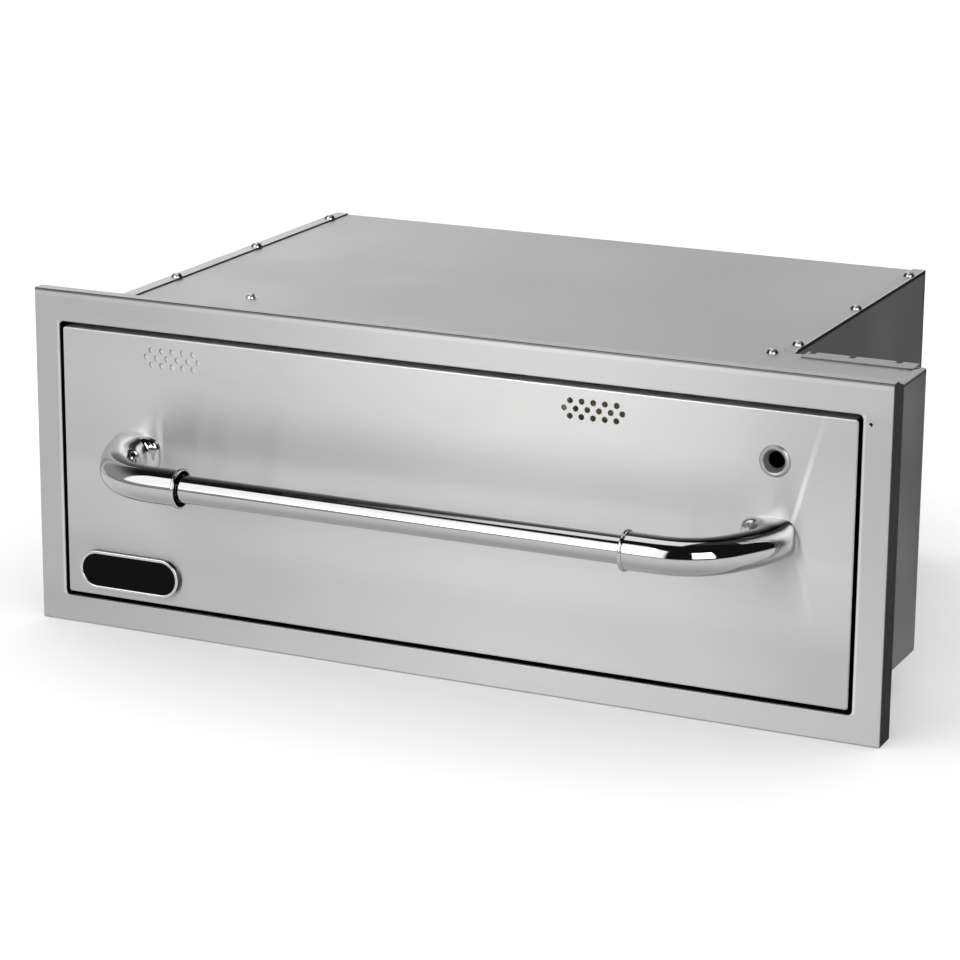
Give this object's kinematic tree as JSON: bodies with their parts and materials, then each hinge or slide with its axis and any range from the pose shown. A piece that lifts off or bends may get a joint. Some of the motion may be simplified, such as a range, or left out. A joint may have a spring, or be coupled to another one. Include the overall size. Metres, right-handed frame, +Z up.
{
  "type": "warming drawer",
  "caption": "Built-in electric warming drawer with a stainless trim frame, insulated drawer front, tubular handle, heated cavity, lift-out pan and rack, and controls behind the front.",
  "frame": {"origin": "middle of the whole part's footprint, at the height of the trim frame's lower edge", "axes": "+X along the width, to the viewer's right; +Y from the front into the cabinet; +Z up"},
  "size_m": [0.762, 0.6223, 0.293],
  "materials": {
    "stainless": "horizontally brushed stainless steel",
    "frame_stainless": "brushed stainless steel, lengthwise grain",
    "casing_steel": "plain zinc-coated sheet",
    "chrome": "polished",
    "bar_steel": "polished stainless tube",
    "black_enamel": "gloss black, bare",
    "screw_steel": "plain dome screws",
    "liner_steel": "satin stainless",
    "slide_steel": "zinc-coated",
    "mineral_wool": "mineral wool blanket",
    "element_sheath": "dark oxidised sheath",
    "ceramic": "unglazed ceramic bush",
    "copper": "drawn copper",
    "black_plastic": "moulded, satin black",
    "phenolic": "moulded phenolic",
    "lens_amber": "clear amber lens",
    "rubber": "black silicone rubber",
    "wire_sleeve": "sleeved wire",
    "pan_steel": "polished stainless pan",
    "rack_wire": "bright plated wire",
    "collar_paint": "satin black paint"
  },
  "bodies": {
    "cabinet": {"trim_frame": "frame_stainless", "front_collar": "collar_paint", "top_cover": "casing_steel", "left_side_panel": "casing_steel", "right_side_panel": "casing_steel", "bottom_panel": "casing_steel", "rear_panel": "casing_steel", "rear_panel_screws": "screw_steel", "control_box_side": "casing_steel", "control_box_rear": "casing_steel", "control_box_screws": "screw_steel", "top_cover_screws": "screw_steel", "cavity_liner": "liner_steel", "insulation_top": "mineral_wool", "insulation_bottom": "mineral_wool", "insulation_left": "mineral_wool", "insulation_right": "mineral_wool", "insulation_rear": "mineral_wool", "heating_element": "element_sheath", "element_clips": "liner_steel", "element_terminals": "ceramic", "heat_spreader": "liner_steel", "sensor_bulb": "copper", "sensor_clips": "liner_steel", "control_panel": "liner_steel", "thermostat_body": "phenolic", "switch_body": "black_plastic", "pilot_lamp": "phenolic", "lamp_lens": "lens_amber", "terminal_block": "phenolic", "cord_bush": "rubber", "slide_outer_left": "slide_steel", "slide_outer_right": "slide_steel", "wiring_loom": "wire_sleeve", "capillary_tube": "copper"},
    "slide_middle": {"slide_middle_left": "slide_steel", "slide_middle_right": "slide_steel"},
    "drawer": {"drawer_front_skin": "stainless", "drawer_front_inner": "liner_steel", "front_insulation": "mineral_wool", "vent_backing_plate": "liner_steel", "lamp_bezel": "chrome", "badge_plate": "black_enamel", "badge_rim": "chrome", "front_seal": "rubber", "handle_bar": "bar_steel", "handle_elbow_left": "chrome", "handle_elbow_right": "chrome", "handle_bolts": "screw_steel", "drawer_rail_left": "slide_steel", "drawer_rail_right": "slide_steel", "drawer_rear_rail": "slide_steel", "slide_inner_left": "slide_steel", "slide_inner_right": "slide_steel"},
    "thermostat_dial": {"thermostat_shaft": "liner_steel", "thermostat_knob": "black_plastic"},
    "rocker": {"switch_rocker": "black_plastic"},
    "pan": {"food_pan": "pan_steel"},
    "rack": {"wire_rack": "rack_wire"}
  },
  "joints": [
    {"name": "drawer_slide", "type": "slide", "parent": "cabinet", "child": "drawer", "axis": [0, -1, 0], "range_m": [0, 0.42]},
    {"name": "slide_middle_travel", "type": "slide", "parent": "cabinet", "child": "slide_middle", "axis": [0, -1, 0], "range_m": [0, 0.21]},
    {"name": "thermostat_turn", "type": "hinge", "parent": "cabinet", "child": "thermostat_dial", "pos_m": [0.3, -0.1573, 0.13], "axis": [0, 1, 0], "range_deg": [0, 270]},
    {"name": "switch_rock", "type": "hinge", "parent": "cabinet", "child": "rocker", "pos_m": [0.3, -0.1553, 0.072], "axis": [1, 0, 0], "range_deg": [0, 16]},
    {"name": "pan_lift", "type": "slide", "parent": "drawer", "child": "pan", "axis": [0, 0, 1], "range_m": [0, 0.06]},
    {"name": "rack_lift", "type": "slide", "parent": "pan", "child": "rack", "axis": [0, 0, 1], "range_m": [0, 0.05]}
  ],
  "couplings": [
    {"joint": "slide_middle_travel", "follows": "drawer_slide", "ratio": 0.5}
  ]
}
